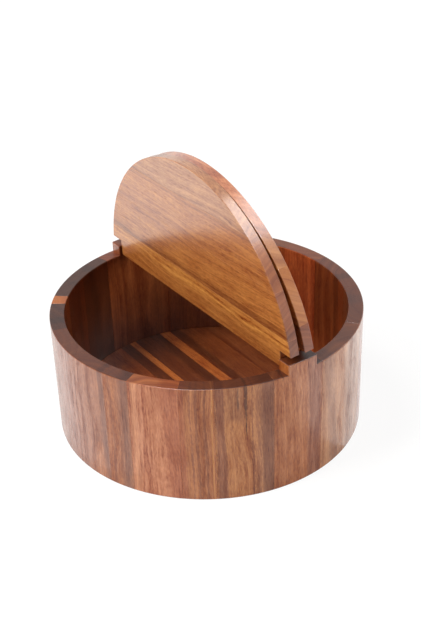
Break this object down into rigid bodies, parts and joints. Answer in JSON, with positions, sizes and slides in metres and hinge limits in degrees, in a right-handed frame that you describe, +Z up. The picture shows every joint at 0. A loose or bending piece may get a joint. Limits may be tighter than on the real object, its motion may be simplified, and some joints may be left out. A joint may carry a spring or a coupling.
{
  "type": "lidded storage box",
  "caption": "Round wooden storage box built from upright staves, closed by half-round flap lids that turn on pins hidden in raised ears on the rim.",
  "frame": {"origin": "centre of the base, on the surface that the box stands on", "axes": "+Z up; the two hinge axes run along X, with an ear at each end; the front lid is on the -Y side"},
  "size_m": [0.23, 0.23, 0.2049],
  "materials": {
    "acacia_dark": "satin lacquer",
    "acacia_mid": "satin lacquer",
    "acacia_red": "satin lacquer",
    "acacia_olive": "satin lacquer",
    "acacia_pink": "satin lacquer",
    "acacia_pale": "satin lacquer",
    "acacia_honey": "satin lacquer",
    "acacia_tan": "satin lacquer",
    "pin_steel": "plain",
    "magnet_nickel": "nickel plated"
  },
  "bodies": {
    "box": {"ear_stave_right": "acacia_mid", "wall_stave_02": "acacia_pale", "wall_stave_03": "acacia_pink", "wall_stave_04": "acacia_dark", "wall_stave_05": "acacia_red", "wall_stave_06": "acacia_mid", "wall_stave_07": "acacia_dark", "ear_stave_left": "acacia_red", "wall_stave_09": "acacia_dark", "wall_stave_10": "acacia_dark", "wall_stave_11": "acacia_honey", "wall_stave_12": "acacia_dark", "wall_stave_13": "acacia_pale", "wall_stave_14": "acacia_olive", "wall_stave_15": "acacia_pink", "wall_stave_16": "acacia_pink", "wall_stave_17": "acacia_olive", "wall_stave_18": "acacia_mid", "floor_strip_01": "acacia_red", "floor_strip_02": "acacia_dark", "floor_strip_03": "acacia_red", "floor_strip_04": "acacia_dark", "floor_strip_05": "acacia_honey", "floor_strip_06": "acacia_mid", "floor_strip_07": "acacia_honey", "floor_strip_08": "acacia_red", "floor_strip_09": "acacia_dark", "floor_strip_10": "acacia_mid", "front_pin_right": "pin_steel", "front_pin_left": "pin_steel", "rear_pin_right": "pin_steel", "rear_pin_left": "pin_steel"},
    "front_lid": {"front_lid_board_1": "acacia_honey", "front_lid_board_2": "acacia_tan", "front_lid_board_3": "acacia_pink", "front_lid_board_4": "acacia_tan", "front_lid_magnet": "magnet_nickel"},
    "rear_lid": {"rear_lid_board_1": "acacia_tan", "rear_lid_board_2": "acacia_honey", "rear_lid_board_3": "acacia_tan", "rear_lid_board_4": "acacia_pink", "rear_lid_magnet": "magnet_nickel"}
  },
  "joints": [
    {"name": "front_lid_hinge", "type": "hinge", "parent": "box", "child": "front_lid", "pos_m": [0, -0.0063, 0.09625], "axis": [1, 0, 0], "range_deg": [0, 87.25]},
    {"name": "rear_lid_hinge", "type": "hinge", "parent": "box", "child": "rear_lid", "pos_m": [0, 0.0063, 0.09625], "axis": [-1, 0, 0], "range_deg": [0, 95.33]}
  ]
}
